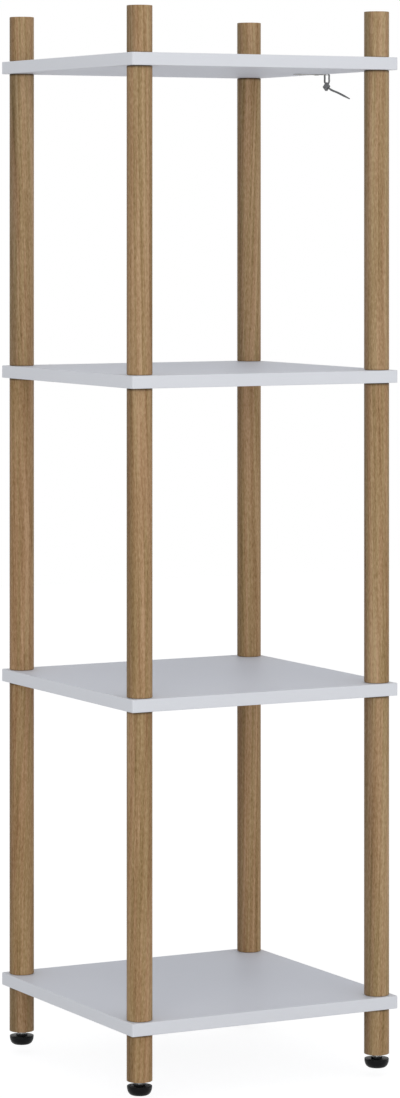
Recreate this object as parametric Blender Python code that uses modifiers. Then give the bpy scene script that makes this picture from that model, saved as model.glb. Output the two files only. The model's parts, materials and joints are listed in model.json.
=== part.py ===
"""Corner shelf: square boards clamped between round oak posts, on levelling feet, with an anti-tip tie.

Metres, +Z up. The origin is on the floor, below the centre of the boards. The front faces -Y, and the
two wall sides face +X and +Y.
"""

from math import cos, pi, radians, sin

import bmesh
import bpy

# Boards
SHELF_WIDTH = 0.380
SHELF_DEPTH = 0.380
SHELF_THICKNESS = 0.016
SHELF_GAP = 0.383  # clear height between two boards
SHELF_CORNER_RADIUS = 0.0025
SHELF_ARRIS = 0.0008

# Posts
POST_DIAMETER = 0.032
POST_INSET = 0.020  # post axis to the edges of the boards
LEG_HEIGHT = 0.0587
FINIAL_HEIGHT = 0.0585
POST_CHAMFER = 0.0008
FINIAL_ROUND = 0.0008

# Joining studs, each through a board and into the post pieces above and below it
STUD_DIAMETER = 0.008
STUD_GRIP = 0.016  # length inside each post piece
STUD_CLEARANCE = 0.0003
STUD_END_PLAY = 0.0005

# Levelling feet
PAD_DIAMETER = 0.0314
PAD_BASE_DIAMETER = 0.0166
PAD_HEIGHT = 0.0115
PAD_RIM_ROUND = 0.0004
PAD_LIP = 0.0016  # height of the mouth that holds the swivel head in the pad
SWIVEL_DIAMETER = 0.0092
SWIVEL_HEIGHT = 0.004
NECK_DIAMETER = 0.0066
COLLAR_ACROSS_FLATS = 0.013
COLLAR_HEIGHT = 0.0020
ROD_SHOWING = 0.0036  # between the collar and the leg, with the foot wound right in
SPINDLE_DIAMETER = 0.008
SPINDLE_CHAMFER = 0.001
LEVELLING_TRAVEL = 0.010
THREAD_ENGAGEMENT = 0.014  # thread left in the insert with the foot wound right out
INSERT_DIAMETER = 0.012
INSERT_LENGTH = 0.015
INSERT_FLANGE_DIAMETER = 0.016
INSERT_FLANGE_THICKNESS = 0.0012
SPINDLE_TIP_PLAY = 0.001

# Wall bracket under the top board, at the middle of its +X side
BRACKET_WIDTH = 0.010
BRACKET_THICKNESS = 0.0008
BRACKET_GRIP = 0.0446  # length under the board
BRACKET_CORNER_RADIUS = 0.0015
EYE_DIAMETER = 0.0046
EYE_REACH = 0.0015  # eye centre past the edge of the board
SCREW_END_MARGIN = 0.008  # inner screw to the bracket's inner end
SCREW_EDGE_MARGIN = 0.012  # outer screw to the edge of the board
SCREW_DIAMETER = 0.0035
SCREW_GRIP = 0.010  # length inside the board
SCREW_POINT = 0.002
SCREW_HEAD_DIAMETER = 0.0072
SCREW_HEAD_HEIGHT = 0.0004
SCREW_CLEARANCE = 0.0003

# Cable tie, looped through the bracket's eye and round its outer end
STRAP_WIDTH = 0.0028
STRAP_THICKNESS = 0.0013
LOOP_PLAY = 0.0007  # above the strip of metal
LOOP_EYE_PLAY = 0.0024  # in the eye
LOOP_END_PLAY = 0.0021  # past the bracket's rim
LOOP_DROP = 0.0154  # swing axis to the head's centre
LOOP_SHOULDER = 0.72  # share of the rise and reach where the loop turns down
LOOP_BELLY = 0.3  # share of the drop where the loop hangs free
LOOP_WAIST = 0.6  # share of the drop where the loop starts to close
HEAD_OFFSET = 0.0010  # head's centre past the swing axis, towards the eye
HEAD_LENGTH = 0.0090  # along the root of the strap
HEAD_DEPTH = 0.0080  # along the slot
HEAD_WIDTH = 0.0040
HEAD_TURN = radians(45)  # slope of the slot
HEAD_ROUND = 0.0006
SLOT_OFFSET = 0.0017  # slot past the head's centre, towards the root of the strap
TAIL_LENGTH = 0.0440  # outside the head
TAIL_SLOPE = radians(20.4)
TAIL_TIP_SHARE = 0.55
TIE_TURN = radians(78)  # round the eye, from the bracket's end towards the front

# Fits and facets
SEAT_GAP = 0.0003  # between pieces that rest on each other
RUN_CLEARANCE = 0.0003  # round the parts that turn
POST_SIDES = 20
SMALL_SIDES = 16
STUD_SIDES = 12
ROUND_STEPS = 3
PAD_SIDE_STEPS = 5
MERGE = 0.000001
SHARP_ANGLE = radians(35)

SHELVES = ("bottom", "lower", "upper", "top")
SPACERS = ("lower_post", "middle_post", "upper_post")
CORNERS = {"front_left": (-1, -1), "front_right": (1, -1), "back_left": (-1, 1), "back_right": (1, 1)}

# Heights worked out from the sizes above
LEG_BASE = PAD_HEIGHT + COLLAR_HEIGHT + ROD_SHOWING + 2 * SEAT_GAP
FIRST_UNDERSIDE = LEG_BASE + LEG_HEIGHT
SHELF_PITCH = SHELF_THICKNESS + SHELF_GAP
UNDERSIDES = [FIRST_UNDERSIDE + SHELF_PITCH * level for level in range(len(SHELVES))]
STUD_BORE = (STUD_DIAMETER / 2 + STUD_CLEARANCE, STUD_GRIP + STUD_END_PLAY)
THREAD_LENGTH = LEVELLING_TRAVEL + THREAD_ENGAGEMENT
SPINDLE_BORE_RADIUS = SPINDLE_DIAMETER / 2 + RUN_CLEARANCE

# Bracket places worked out from the sizes above
BRACKET_TOP = UNDERSIDES[-1] - SEAT_GAP
BRACKET_INNER_END = SHELF_WIDTH / 2 - BRACKET_GRIP
EYE_X = SHELF_WIDTH / 2 + EYE_REACH
SCREW_X = {
    "inner": BRACKET_INNER_END + SCREW_END_MARGIN,
    "outer": SHELF_WIDTH / 2 - SCREW_EDGE_MARGIN,
}
BAR_REACH = (BRACKET_WIDTH + EYE_DIAMETER) / 4
BAR_HALF_WIDTH = (BRACKET_WIDTH - EYE_DIAMETER) / 4


def clear_scene():
    for obj in list(bpy.data.objects):
        bpy.data.objects.remove(obj, do_unlink=True)


def make_collection(name):
    collection = bpy.data.collections.new(name)
    bpy.context.scene.collection.children.link(collection)
    return collection


def make_material(name, color, roughness, metallic=0.0):
    material = bpy.data.materials.new(name)
    material.use_nodes = True
    shader = material.node_tree.nodes["Principled BSDF"]
    shader.inputs["Base Color"].default_value = (*color, 1.0)
    shader.inputs["Roughness"].default_value = roughness
    shader.inputs["Metallic"].default_value = metallic
    return material


def settled_mesh(obj, helpers=()):
    """The object's evaluated mesh, smooth shaded with its corners kept sharp. The object and helpers go."""
    for piece in (obj, *helpers):
        bpy.context.scene.collection.objects.link(piece)
    evaluated = obj.evaluated_get(bpy.context.evaluated_depsgraph_get())
    mesh = bpy.data.meshes.new_from_object(evaluated)
    mesh.name = obj.name
    for piece in (obj, *helpers):
        bpy.data.objects.remove(piece, do_unlink=True)
    form = bmesh.new()
    form.from_mesh(mesh)
    bmesh.ops.remove_doubles(form, verts=form.verts, dist=MERGE)
    form.to_mesh(mesh)
    form.free()
    mesh.shade_smooth()
    mesh.set_sharp_from_angle(angle=SHARP_ANGLE)
    return mesh


def turned(name, profile, sides):
    """Mesh turned about Z from (radius, height) points: out from the axis, down the outer side and back."""
    mesh = bpy.data.meshes.new(name)
    outline = bmesh.new()
    points = [outline.verts.new((radius, 0.0, height)) for radius, height in profile]
    for start, end in zip(points, points[1:]):
        outline.edges.new((start, end))
    outline.to_mesh(mesh)
    outline.free()
    blank = bpy.data.objects.new(name, mesh)
    screw = blank.modifiers.new("Turn", "SCREW")
    screw.steps = sides
    screw.render_steps = sides
    screw.use_merge_vertices = True
    screw.merge_threshold = MERGE
    return settled_mesh(blank)


def prism(name, radius, height, sides):
    """Upright prism standing on its origin, with a corner towards +Y."""
    mesh = bpy.data.meshes.new(name)
    form = bmesh.new()
    bmesh.ops.create_cone(form, cap_ends=True, segments=sides, radius1=radius, radius2=radius, depth=height)
    bmesh.ops.translate(form, verts=form.verts, vec=(0.0, 0.0, height / 2))
    form.to_mesh(mesh)
    form.free()
    return mesh


def box(name, size):
    """Box centred on its origin."""
    mesh = bpy.data.meshes.new(name)
    form = bmesh.new()
    bmesh.ops.create_cube(form, size=1.0)
    bmesh.ops.scale(form, verts=form.verts, vec=size)
    form.to_mesh(mesh)
    form.free()
    return mesh


def arc(centre, radius, start, end, steps):
    """Points along a circular arc, angles in degrees."""
    angles = [radians(start + (end - start) * step / steps) for step in range(steps + 1)]
    return [(centre[0] + radius * cos(angle), centre[1] + radius * sin(angle)) for angle in angles]


def ring(centre, radius, sides):
    return arc(centre, radius, 0, 360, sides)[:-1]


def plate(name, outlines, thickness):
    """Flat plate centred on its origin. The first outline is its edge, and the others are its holes."""
    curve = bpy.data.curves.new(name, "CURVE")
    curve.dimensions = "2D"
    curve.fill_mode = "BOTH"
    curve.extrude = thickness / 2
    for outline in outlines:
        spline = curve.splines.new("POLY")
        spline.points.add(len(outline) - 1)
        for point, (x, y) in zip(spline.points, outline):
            point.co = (x, y, 0.0, 1.0)
        spline.use_cyclic_u = True
    return settled_mesh(bpy.data.objects.new(name, curve))


def make_empty(name, location, parent=None):
    empty = bpy.data.objects.new(name, None)
    empty.location = location
    empty.parent = parent
    parts.objects.link(empty)
    return empty


def add_part(name, mesh, material, location, parent):
    part = bpy.data.objects.new(name, mesh)
    part.location = location
    part.parent = parent
    if not mesh.materials:
        mesh.materials.append(material)
    parts.objects.link(part)
    return part


def add_cutter(name, mesh, location):
    cutter = bpy.data.objects.new(name, mesh)
    cutter.location = location
    cutter.hide_render = True
    cutter.display_type = "WIRE"
    cutters.objects.link(cutter)
    return cutter


def cut(part, cutter):
    boolean = part.modifiers.new(cutter.name, "BOOLEAN")
    boolean.operation = "DIFFERENCE"
    boolean.object = cutter


def board_mesh(name):
    """Board centred on its origin, with rounded upright corners."""
    mesh = box(name, (SHELF_WIDTH, SHELF_DEPTH, SHELF_THICKNESS))
    form = bmesh.new()
    form.from_mesh(mesh)
    upright = [edge for edge in form.edges if abs(edge.verts[0].co.z - edge.verts[1].co.z) > SHELF_ARRIS]
    bmesh.ops.bevel(
        form,
        geom=upright,
        offset=SHELF_CORNER_RADIUS,
        segments=ROUND_STEPS,
        profile=0.5,
        affect="EDGES",
    )
    form.to_mesh(mesh)
    form.free()
    return mesh


def add_shelves():
    bore_height = UNDERSIDES[-1] - UNDERSIDES[0] + SHELF_PITCH
    bore_mesh = prism("stud_bore", STUD_BORE[0], bore_height, SMALL_SIDES)
    bore_base = UNDERSIDES[0] - SHELF_GAP / 2
    bores = [
        add_cutter(f"stud_bore_{corner}", bore_mesh, (*post_place(corner), bore_base))
        for corner in CORNERS
    ]
    for shelf, underside in zip(SHELVES, UNDERSIDES):
        centre = (0.0, 0.0, underside + SHELF_THICKNESS / 2)
        board = add_part(f"{shelf}_shelf", board_mesh(f"{shelf}_shelf"), melamine, centre, origin)
        arris = board.modifiers.new("Arris", "BEVEL")
        arris.width = SHELF_ARRIS
        arris.segments = 1
        arris.limit_method = "ANGLE"
        arris.angle_limit = radians(60)
        for bore in bores:
            cut(board, bore)
    return board


def post_place(corner):
    side_x, side_y = CORNERS[corner]
    return side_x * (SHELF_WIDTH / 2 - POST_INSET), side_y * (SHELF_DEPTH / 2 - POST_INSET)


def chamfered_end(height, inward):
    """Profile points of a post's end at this height, from the bore's side out. Inward is -1 at the top end."""
    radius = POST_DIAMETER / 2
    return [(radius - POST_CHAMFER, height), (radius, height + inward * POST_CHAMFER)]


def spacer_mesh():
    length = SHELF_GAP - 2 * SEAT_GAP
    bore_radius, bore_depth = STUD_BORE
    return turned(
        "spacer",
        [
            (0.0, length - bore_depth),
            (bore_radius, length - bore_depth),
            (bore_radius, length),
            *chamfered_end(length, -1),
            *reversed(chamfered_end(0.0, 1)),
            (bore_radius, 0.0),
            (bore_radius, bore_depth),
            (0.0, bore_depth),
        ],
        POST_SIDES,
    )


def leg_mesh():
    length = LEG_HEIGHT - SEAT_GAP
    bore_radius, bore_depth = STUD_BORE
    flange_radius = INSERT_FLANGE_DIAMETER / 2 + SEAT_GAP
    flange_depth = INSERT_FLANGE_THICKNESS + SEAT_GAP
    insert_radius = INSERT_DIAMETER / 2 + SEAT_GAP
    insert_depth = INSERT_LENGTH + SEAT_GAP
    spindle_depth = THREAD_LENGTH + SPINDLE_TIP_PLAY
    return turned(
        "leg",
        [
            (0.0, length - bore_depth),
            (bore_radius, length - bore_depth),
            (bore_radius, length),
            *chamfered_end(length, -1),
            *reversed(chamfered_end(0.0, 1)),
            (flange_radius, 0.0),
            (flange_radius, flange_depth),
            (insert_radius, flange_depth),
            (insert_radius, insert_depth),
            (SPINDLE_BORE_RADIUS, insert_depth),
            (SPINDLE_BORE_RADIUS, spindle_depth),
            (0.0, spindle_depth),
        ],
        POST_SIDES,
    )


def finial_mesh():
    length = FINIAL_HEIGHT - SEAT_GAP
    bore_radius, bore_depth = STUD_BORE
    round_centre = (POST_DIAMETER / 2 - FINIAL_ROUND, length - FINIAL_ROUND)
    return turned(
        "finial",
        [
            (0.0, length),
            *arc(round_centre, FINIAL_ROUND, 90, 0, ROUND_STEPS),
            *reversed(chamfered_end(0.0, 1)),
            (bore_radius, 0.0),
            (bore_radius, bore_depth),
            (0.0, bore_depth),
        ],
        POST_SIDES,
    )


def add_posts():
    leg = leg_mesh()
    spacer = spacer_mesh()
    finial = finial_mesh()
    stud_half = SHELF_THICKNESS / 2 + SEAT_GAP + STUD_GRIP
    stud = prism("stud", STUD_DIAMETER / 2, 2 * stud_half, STUD_SIDES)
    for corner, column in columns.items():
        add_part(f"leg_{corner}", leg, oak, (0.0, 0.0, LEG_BASE), column)
        for spacer_name, underside in zip(SPACERS, UNDERSIDES):
            base = underside + SHELF_THICKNESS + SEAT_GAP
            add_part(f"{spacer_name}_{corner}", spacer, oak, (0.0, 0.0, base), column)
        finial_base = UNDERSIDES[-1] + SHELF_THICKNESS + SEAT_GAP
        add_part(f"finial_{corner}", finial, oak, (0.0, 0.0, finial_base), column)
        for shelf, underside in zip(SHELVES, UNDERSIDES):
            stud_base = underside + SHELF_THICKNESS / 2 - stud_half
            add_part(f"{shelf}_stud_{corner}", stud, steel, (0.0, 0.0, stud_base), column)


def insert_mesh():
    """Flanged thread insert, standing on the leg's lower end."""
    flange_radius = INSERT_FLANGE_DIAMETER / 2
    radius = INSERT_DIAMETER / 2
    return turned(
        "foot_insert",
        [
            (SPINDLE_BORE_RADIUS, INSERT_LENGTH),
            (radius, INSERT_LENGTH),
            (radius, INSERT_FLANGE_THICKNESS),
            (flange_radius, INSERT_FLANGE_THICKNESS),
            (flange_radius, 0.0),
            (SPINDLE_BORE_RADIUS, 0.0),
            (SPINDLE_BORE_RADIUS, INSERT_LENGTH),
        ],
        SMALL_SIDES,
    )


def spindle_mesh():
    """Threaded rod, hexagon collar and swivel head, from the top of the pad."""
    radius = SPINDLE_DIAMETER / 2
    rod_top = LEG_BASE - PAD_HEIGHT + THREAD_LENGTH
    head_top = -(PAD_LIP + RUN_CLEARANCE)
    head_bottom = head_top - SWIVEL_HEIGHT
    rod_foot = SEAT_GAP + COLLAR_HEIGHT / 2
    rod = turned(
        "foot_spindle",
        [
            (0.0, rod_top),
            (radius - SPINDLE_CHAMFER, rod_top),
            (radius, rod_top - SPINDLE_CHAMFER),
            (radius, rod_foot),
            (NECK_DIAMETER / 2, rod_foot),
            (NECK_DIAMETER / 2, head_top),
            (SWIVEL_DIAMETER / 2, head_top),
            (SWIVEL_DIAMETER / 2, head_bottom),
            (0.0, head_bottom),
        ],
        SMALL_SIDES,
    )
    spindle = bpy.data.objects.new("foot_spindle", rod)
    across_corners = COLLAR_ACROSS_FLATS / cos(pi / 6)
    collar = bpy.data.objects.new("collar", prism("collar", across_corners / 2, COLLAR_HEIGHT, 6))
    collar.location = (0.0, 0.0, SEAT_GAP)
    union = spindle.modifiers.new("Collar", "BOOLEAN")
    union.operation = "UNION"
    union.object = collar
    return settled_mesh(spindle, [collar])


def pad_mesh():
    """Moulded pad: an elliptical dish with a flat base, and a socket whose lip holds the spindle's swivel head."""
    rim_radius = PAD_DIAMETER / 2
    base_radius = PAD_BASE_DIAMETER / 2
    mouth_radius = NECK_DIAMETER / 2 + RUN_CLEARANCE
    socket_radius = SWIVEL_DIAMETER / 2 + RUN_CLEARANCE
    socket_top = PAD_HEIGHT - PAD_LIP
    socket_floor = socket_top - SWIVEL_HEIGHT - 2 * RUN_CLEARANCE
    side_height = PAD_HEIGHT - PAD_RIM_ROUND
    quarter = [pi / 2 * step / PAD_SIDE_STEPS for step in range(PAD_SIDE_STEPS + 1)]
    side = [
        (base_radius + (rim_radius - base_radius) * cos(angle), side_height * (1 - sin(angle)))
        for angle in quarter
    ]
    return turned(
        "foot_pad",
        [
            (0.0, socket_floor),
            (socket_radius, socket_floor),
            (socket_radius, socket_top),
            (mouth_radius, socket_top),
            (mouth_radius, PAD_HEIGHT),
            (rim_radius - PAD_RIM_ROUND, PAD_HEIGHT),
            *side,
            (0.0, 0.0),
        ],
        POST_SIDES,
    )


def add_feet():
    insert = insert_mesh()
    spindle = spindle_mesh()
    pad = pad_mesh()
    for corner, column in columns.items():
        add_part(f"foot_insert_{corner}", insert, steel, (0.0, 0.0, LEG_BASE), column)
        add_part(f"foot_spindle_{corner}", spindle, steel, (0.0, 0.0, PAD_HEIGHT), column)
        add_part(f"foot_pad_{corner}", pad, plastic, (0.0, 0.0, 0.0), column)


def add_bracket(top_board):
    """Steel strip with an eye past the edge of the top board, and its two screws in blind pilot holes."""
    half = BRACKET_WIDTH / 2
    inner = BRACKET_INNER_END - EYE_X + BRACKET_CORNER_RADIUS
    corner = half - BRACKET_CORNER_RADIUS
    outline = [
        *arc((0.0, 0.0), half, -90, 90, SMALL_SIDES),
        *arc((inner, corner), BRACKET_CORNER_RADIUS, 90, 180, ROUND_STEPS),
        *arc((inner, -corner), BRACKET_CORNER_RADIUS, 180, 270, ROUND_STEPS),
    ]
    hole_radius = SCREW_DIAMETER / 2 + SCREW_CLEARANCE
    holes = [ring((place - EYE_X, 0.0), hole_radius, STUD_SIDES) for place in SCREW_X.values()]
    eye = ring((0.0, 0.0), EYE_DIAMETER / 2, SMALL_SIDES)
    strip = plate("wall_bracket", [outline, eye, *holes], BRACKET_THICKNESS)
    add_part("wall_bracket", strip, steel, (EYE_X, 0.0, BRACKET_TOP - BRACKET_THICKNESS / 2), origin)

    seat = BRACKET_TOP - BRACKET_THICKNESS - SEAT_GAP
    tip = UNDERSIDES[-1] - seat + SCREW_GRIP
    shank = SCREW_DIAMETER / 2
    head = SCREW_HEAD_DIAMETER / 2
    screw = turned(
        "bracket_screw",
        [
            (0.0, tip),
            (shank, tip - SCREW_POINT),
            (shank, 0.0),
            (head, 0.0),
            (head * cos(pi / 6), -SCREW_HEAD_HEIGHT * sin(pi / 4)),
            (head / 2, -SCREW_HEAD_HEIGHT),
            (0.0, -SCREW_HEAD_HEIGHT),
        ],
        STUD_SIDES,
    )
    pilot_depth = SCREW_GRIP + SEAT_GAP
    pilot = prism("pilot_hole", hole_radius, pilot_depth + SEAT_GAP, STUD_SIDES)
    for name, place in SCREW_X.items():
        add_part(f"bracket_screw_{name}", screw, steel, (place, 0.0, seat), origin)
        hole = add_cutter(f"pilot_hole_{name}", pilot, (place, 0.0, UNDERSIDES[-1] - SEAT_GAP))
        cut(top_board, hole)


def strap_route():
    """Centre line of the strap from the swing axis, as (reach towards the eye, rise).

    It runs from the root in the head over the bracket's rim, down through the eye, through the head's slot
    and along the tail.
    """
    half_strap = STRAP_THICKNESS / 2
    over = BRACKET_THICKNESS / 2 + LOOP_PLAY + half_strap
    inner = BAR_HALF_WIDTH + LOOP_EYE_PLAY + half_strap
    outer = -(BAR_HALF_WIDTH + LOOP_END_PLAY + half_strap)

    def from_head(tailward, upward):
        return (
            HEAD_OFFSET - cos(HEAD_TURN) * tailward - sin(HEAD_TURN) * upward,
            -LOOP_DROP - sin(HEAD_TURN) * tailward + cos(HEAD_TURN) * upward,
        )

    mouth = from_head(HEAD_DEPTH / 2, SLOT_OFFSET)

    def down_tail(run):
        return (mouth[0] - cos(TAIL_SLOPE) * run, mouth[1] - sin(TAIL_SLOPE) * run)

    return [
        from_head(0.0, HEAD_LENGTH / 3),
        (outer, -LOOP_DROP * LOOP_WAIST),
        (outer, -LOOP_DROP * LOOP_BELLY),
        (outer, -BRACKET_THICKNESS / 2),
        (outer * LOOP_SHOULDER, over * LOOP_SHOULDER),
        (0.0, over),
        (inner * LOOP_SHOULDER, over * LOOP_SHOULDER),
        (inner, -BRACKET_THICKNESS / 2),
        (inner, -LOOP_DROP * LOOP_BELLY),
        (inner, -LOOP_DROP * LOOP_WAIST),
        from_head(-HEAD_DEPTH / 2, SLOT_OFFSET),
        mouth,
        down_tail(TAIL_LENGTH / 2),
        down_tail(TAIL_LENGTH),
    ]


def tie_mesh():
    """Nylon strap, thickened from a ribbon along its route, joined to its head."""
    curve = bpy.data.curves.new("strap", "CURVE")
    curve.dimensions = "2D"
    curve.fill_mode = "NONE"
    curve.extrude = STRAP_WIDTH / 2
    curve.resolution_u = ROUND_STEPS
    route = strap_route()
    spline = curve.splines.new("BEZIER")
    spline.bezier_points.add(len(route) - 1)
    for point, (reach, rise) in zip(spline.bezier_points, route):
        point.co = (reach, rise, 0.0)
        point.handle_left_type = "AUTO"
        point.handle_right_type = "AUTO"
    spline.bezier_points[-1].radius = TAIL_TIP_SHARE
    ribbon = settled_mesh(bpy.data.objects.new("strap", curve))

    strap = bpy.data.objects.new("cable_tie", ribbon)
    thicken = strap.modifiers.new("Thickness", "SOLIDIFY")
    thicken.thickness = STRAP_THICKNESS
    thicken.offset = 0.0
    thicken.use_even_offset = True
    head = bpy.data.objects.new("tie_head", box("tie_head", (HEAD_DEPTH, HEAD_LENGTH, HEAD_WIDTH)))
    head.location = (HEAD_OFFSET, -LOOP_DROP, 0.0)
    head.rotation_euler = (0.0, 0.0, HEAD_TURN)
    soften = head.modifiers.new("Round", "BEVEL")
    soften.width = HEAD_ROUND
    soften.segments = 1
    union = strap.modifiers.new("Head", "BOOLEAN")
    union.operation = "UNION"
    union.object = head
    return settled_mesh(strap, [head])


def add_tie():
    """The tie's sheet is drawn in XY, so it is stood up with its Y upright and its X towards the eye."""
    place = (
        EYE_X + BAR_REACH * cos(TIE_TURN),
        -BAR_REACH * sin(TIE_TURN),
        BRACKET_TOP - BRACKET_THICKNESS / 2,
    )
    swing_axis = make_empty("tie_swing", place, origin)
    swing_axis.rotation_euler = (pi / 2, 0.0, pi - TIE_TURN)
    add_part("cable_tie", tie_mesh(), nylon, (0.0, 0.0, 0.0), swing_axis)


clear_scene()
parts = make_collection("corner_shelf")
cutters = make_collection("cutters")
melamine = make_material("white_melamine", (0.80, 0.81, 0.83), 0.45)
oak = make_material("oiled_oak", (0.34, 0.22, 0.12), 0.55)
steel = make_material("zinc_plated_steel", (0.55, 0.55, 0.54), 0.35, 1.0)
plastic = make_material("black_plastic", (0.012, 0.013, 0.014), 0.5)
nylon = make_material("grey_nylon", (0.20, 0.20, 0.20), 0.4)

origin = make_empty("shelf_origin", (0.0, 0.0, 0.0))
columns = {corner: make_empty(f"column_{corner}", (*post_place(corner), 0.0), origin) for corner in CORNERS}
top_shelf = add_shelves()
add_posts()
add_feet()
add_bracket(top_shelf)
add_tie()
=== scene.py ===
"""Corner shelf, dressed: melamine boards with edge bands, oak posts, levelling feet and the anti-tip tie.

Metres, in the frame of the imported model: +Z up, the front faces -Y, and the wall sides face +X and +Y.
"""

import json
import random
from math import cos, pi, radians, sin

import bmesh
import bpy
import numpy as np
from mathutils import Matrix, Vector


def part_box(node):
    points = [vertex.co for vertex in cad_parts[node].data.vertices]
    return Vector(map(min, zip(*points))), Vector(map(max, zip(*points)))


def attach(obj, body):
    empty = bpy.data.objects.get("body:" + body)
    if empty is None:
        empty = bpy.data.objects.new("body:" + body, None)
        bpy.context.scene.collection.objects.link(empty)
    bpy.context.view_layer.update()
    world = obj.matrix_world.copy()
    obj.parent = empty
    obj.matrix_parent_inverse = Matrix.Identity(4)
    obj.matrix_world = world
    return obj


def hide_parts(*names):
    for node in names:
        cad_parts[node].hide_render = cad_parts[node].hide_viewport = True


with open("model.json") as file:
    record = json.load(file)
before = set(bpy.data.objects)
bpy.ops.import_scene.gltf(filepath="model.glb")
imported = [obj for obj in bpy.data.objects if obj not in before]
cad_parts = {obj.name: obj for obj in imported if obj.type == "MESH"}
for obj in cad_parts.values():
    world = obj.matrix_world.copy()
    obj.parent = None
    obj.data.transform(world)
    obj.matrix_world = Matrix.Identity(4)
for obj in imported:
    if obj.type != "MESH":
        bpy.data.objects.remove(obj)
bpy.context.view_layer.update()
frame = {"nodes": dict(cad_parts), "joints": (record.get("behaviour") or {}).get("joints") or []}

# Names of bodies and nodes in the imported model
ROOT = "shelf_frame"
SHELVES = ("bottom", "lower", "upper", "top")
CORNERS = ("front_left", "front_right", "back_left", "back_right")
POST_TIERS = ("leg", "lower_post", "middle_post", "upper_post", "finial")
SCREWS = ("inner", "outer")

# Boards
BOARD_CORNER = 0.0025
BAND_THICKNESS = 0.001
ARRIS = 0.0008
SEAM_HALF_WIDTH = 0.00006
SEAM_DEPTH = 0.0001
ARRIS_STEPS = 4
CORNER_STEPS = 8

# Posts, with the radius and depth of each recess in a leg's lower end
STUD_BORE_RADIUS = 0.0043
STUD_BORE_DEPTH = 0.0165
POST_CHAMFER = 0.0008
LEG_CHAMFER = 0.0003
FINIAL_ROUND = 0.0008
FLANGE_SEAT = (0.0083, 0.0015)
INSERT_SEAT = (0.0063, 0.0153)
SPINDLE_SEAT = (0.0043, 0.025)
POST_SIDES = 96

# Levelling feet
PAD_RADIUS = 0.0157
PAD_BASE_RADIUS = 0.0083
PAD_RIM_ROUND = 0.0004
PAD_LIP = 0.0016
PAD_SIDE_STEPS = 14
PAD_SIDE_POWER = 0.92  # 1 makes the side a quarter ellipse, less makes it blunter
NECK_RADIUS = 0.0033
SWIVEL_RADIUS = 0.0046
SWIVEL_HEIGHT = 0.004
RUN_CLEARANCE = 0.0003
COLLAR_ACROSS_FLATS = 0.013
COLLAR_HEIGHT = 0.0020
COLLAR_CHAMFER = 0.0004
SHANK_RADIUS = 0.0038
SHANK_LENGTH = 0.0036  # plain rod between the collar and the thread
THREAD_RADIUS = 0.004
THREAD_DEPTH = 0.00068
THREAD_PITCH = 0.00125
THREAD_ROWS = 8  # rows of points in one pitch
THREAD_FLANK = 2.2  # 2 makes a sharp crest, more flattens it
INSERT_RADIUS = 0.006
INSERT_FLANGE_THICKNESS = 0.0012
SMALL_SIDES = 48

# Wall bracket and its screws
BRACKET_CORNER = 0.0015
BRACKET_EDGE = 0.00025
BRACKET_EDGE_STEPS = 2
EYE_RADIUS = 0.0023
SCREW_HOLE_RADIUS = 0.00205
SCREW_SHANK_RADIUS = 0.00175
SCREW_POINT = 0.002
SCREW_RIM_SHARE = 0.25  # part of the head's height that is a straight rim
SCREW_DOME_STEP = 15  # degrees
CROSS_LENGTH = 0.0038
CROSS_WIDTH = 0.0009
CROSS_DEPTH = 0.0009

# Cable tie
STRAP_WIDTH = 0.0028
STRAP_THICKNESS = 0.0013
STRAP_EDGE = 0.0004
STRAP_RAIL = 0.0006  # plain border beside the teeth
STRAP_STEP = 0.0002
ROUTE_STEPS = 12  # curve steps between two points of the strap's route
LOOP_PLAY = 0.0007
LOOP_EYE_PLAY = 0.0024
LOOP_END_PLAY = 0.0021
LOOP_DROP = 0.0154  # from the swing axis down to the head's middle
LOOP_SHOULDER = 0.72  # how far the loop's round corners reach out
LOOP_BELLY = 0.3  # the loop is widest from here to the waist, as shares of the drop
LOOP_WAIST = 0.6
BAR_HALF_WIDTH = 0.00135  # of the metal between the eye and the bracket's end
HEAD_OFFSET = 0.0010
HEAD_LENGTH = 0.0090
HEAD_DEPTH = 0.0080
HEAD_WIDTH = 0.0040
HEAD_TURN = radians(45)
HEAD_ROUND = 0.0006
HEAD_ROUND_STEPS = 3
STRAP_ROOT = HEAD_LENGTH / 3  # from the head's middle to where the strap grows out of it
SLOT_OFFSET = 0.0017
SLOT_PLAY = 0.0003
MOUTH_DEPTH = 0.0016
MOUTH_HEIGHT = 0.0042
MOUTH_LAG = 0.0008  # mouth's middle past the slot's, away from the root of the strap
TAIL_LENGTH = 0.0440
TAIL_SLOPE = radians(20.4)
TAIL_TIP_SHARE = 0.55
TAIL_TAPER = 0.012  # length over which the tail narrows to its tip
TAIL_TWIST = radians(46)
TAIL_TWIST_RUN = 0.005  # length over which the tail twists, from the head on
TIE_TURN = radians(78)  # round the eye, from the bracket's end towards the front
TOOTH_PITCH = 0.0009
TOOTH_DEPTH = 0.0004

# Oak
GRAIN_SEED = 7
TINT_SEED = 14783
TINT_DEPTH = (0.06, 0.11, 0.16)  # red, green and blue that the deepest tinted piece loses
LOG_LENGTH = 4.0
PITH_DISTANCE = (0.030, 0.080)  # least and most, from the piece's axis
PITH_LEAN = 0.035
RING_WIDTH = 0.0034
END_SHADE_DEPTH = 0.0042  # depth of the painted shade below an upper end that stands under a board
END_SHADE_TONE = 0.3
SIDE_SHADE_TONE = 0.62  # painted shade on the side towards the pith, which faces the camera's left
HEART_AND_SHADE_SWAY = radians(25)

# Camera, level, with its lens shifted down to frame the shelf
VIEW_TURN = radians(27.932)  # from +Y towards +X
CAMERA_DISTANCE = 5.1235
CAMERA_SIDE = 0.00424
CAMERA_HEIGHT = 1.0915
LENS = 129.68
LENS_SHIFT = -0.30646

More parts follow.
